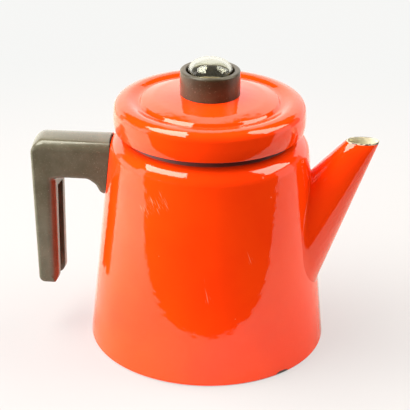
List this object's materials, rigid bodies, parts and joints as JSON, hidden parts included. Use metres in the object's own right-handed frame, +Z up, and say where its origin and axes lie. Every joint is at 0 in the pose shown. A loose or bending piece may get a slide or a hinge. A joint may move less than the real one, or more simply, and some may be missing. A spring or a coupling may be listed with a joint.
{
  "type": "coffee percolator",
  "caption": "Stovetop coffee percolator: cone-shaped enamelled steel pot, tapered spout, moulded side handle, lift-off lid with a glass sight knob and a lift-out pump with basket.",
  "frame": {"origin": "centre of the pot's flat bottom, where it stands on the table", "axes": "+Z up along the axis of the pot, +X towards the spout, -X towards the handle"},
  "size_m": [0.2299, 0.1598, 0.1976],
  "materials": {
    "enamel": "glossy orange-red vitreous enamel with fine scratches",
    "phenolic": "dark brown phenolic moulding, worn satin",
    "glass": "clear pressed glass",
    "aluminium": "satin, spun",
    "steel": "plain, slightly worn",
    "silicone": "matt"
  },
  "bodies": {
    "pot": {"pot_body": "enamel", "base_plate": "enamel", "spout": "enamel", "handle_lug": "steel", "handle_grip": "phenolic", "handle_screw": "steel", "handle_washer": "steel"},
    "pump": {"pump_tube": "aluminium", "pump_foot": "aluminium", "valve_seat": "aluminium", "basket_stop": "aluminium"},
    "valve": {"valve_disc": "steel"},
    "basket": {"basket_shell": "aluminium", "basket_sleeve": "aluminium"},
    "spreader": {"spreader_plate": "aluminium", "spreader_collar": "aluminium"},
    "lid": {"lid_shell": "enamel", "knob_ring": "phenolic", "knob_seal": "silicone", "knob_glass": "glass", "knob_washer": "steel", "knob_nut": "steel"}
  },
  "joints": [
    {"name": "pump_lift", "type": "slide", "parent": "pot", "child": "pump", "axis": [0, 0, 1], "range_m": [0, 0.17]},
    {"name": "valve_lift", "type": "slide", "parent": "pump", "child": "valve", "axis": [0, 0, 1], "range_m": [0, 0.002]},
    {"name": "basket_lift", "type": "slide", "parent": "pump", "child": "basket", "axis": [0, 0, 1], "range_m": [0, 0.075]},
    {"name": "spreader_lift", "type": "slide", "parent": "basket", "child": "spreader", "axis": [0, 0, 1], "range_m": [0, 0.03]},
    {"name": "lid_lift", "type": "slide", "parent": "spreader", "child": "lid", "axis": [0, 0, 1], "range_m": [0, 0.06]}
  ]
}
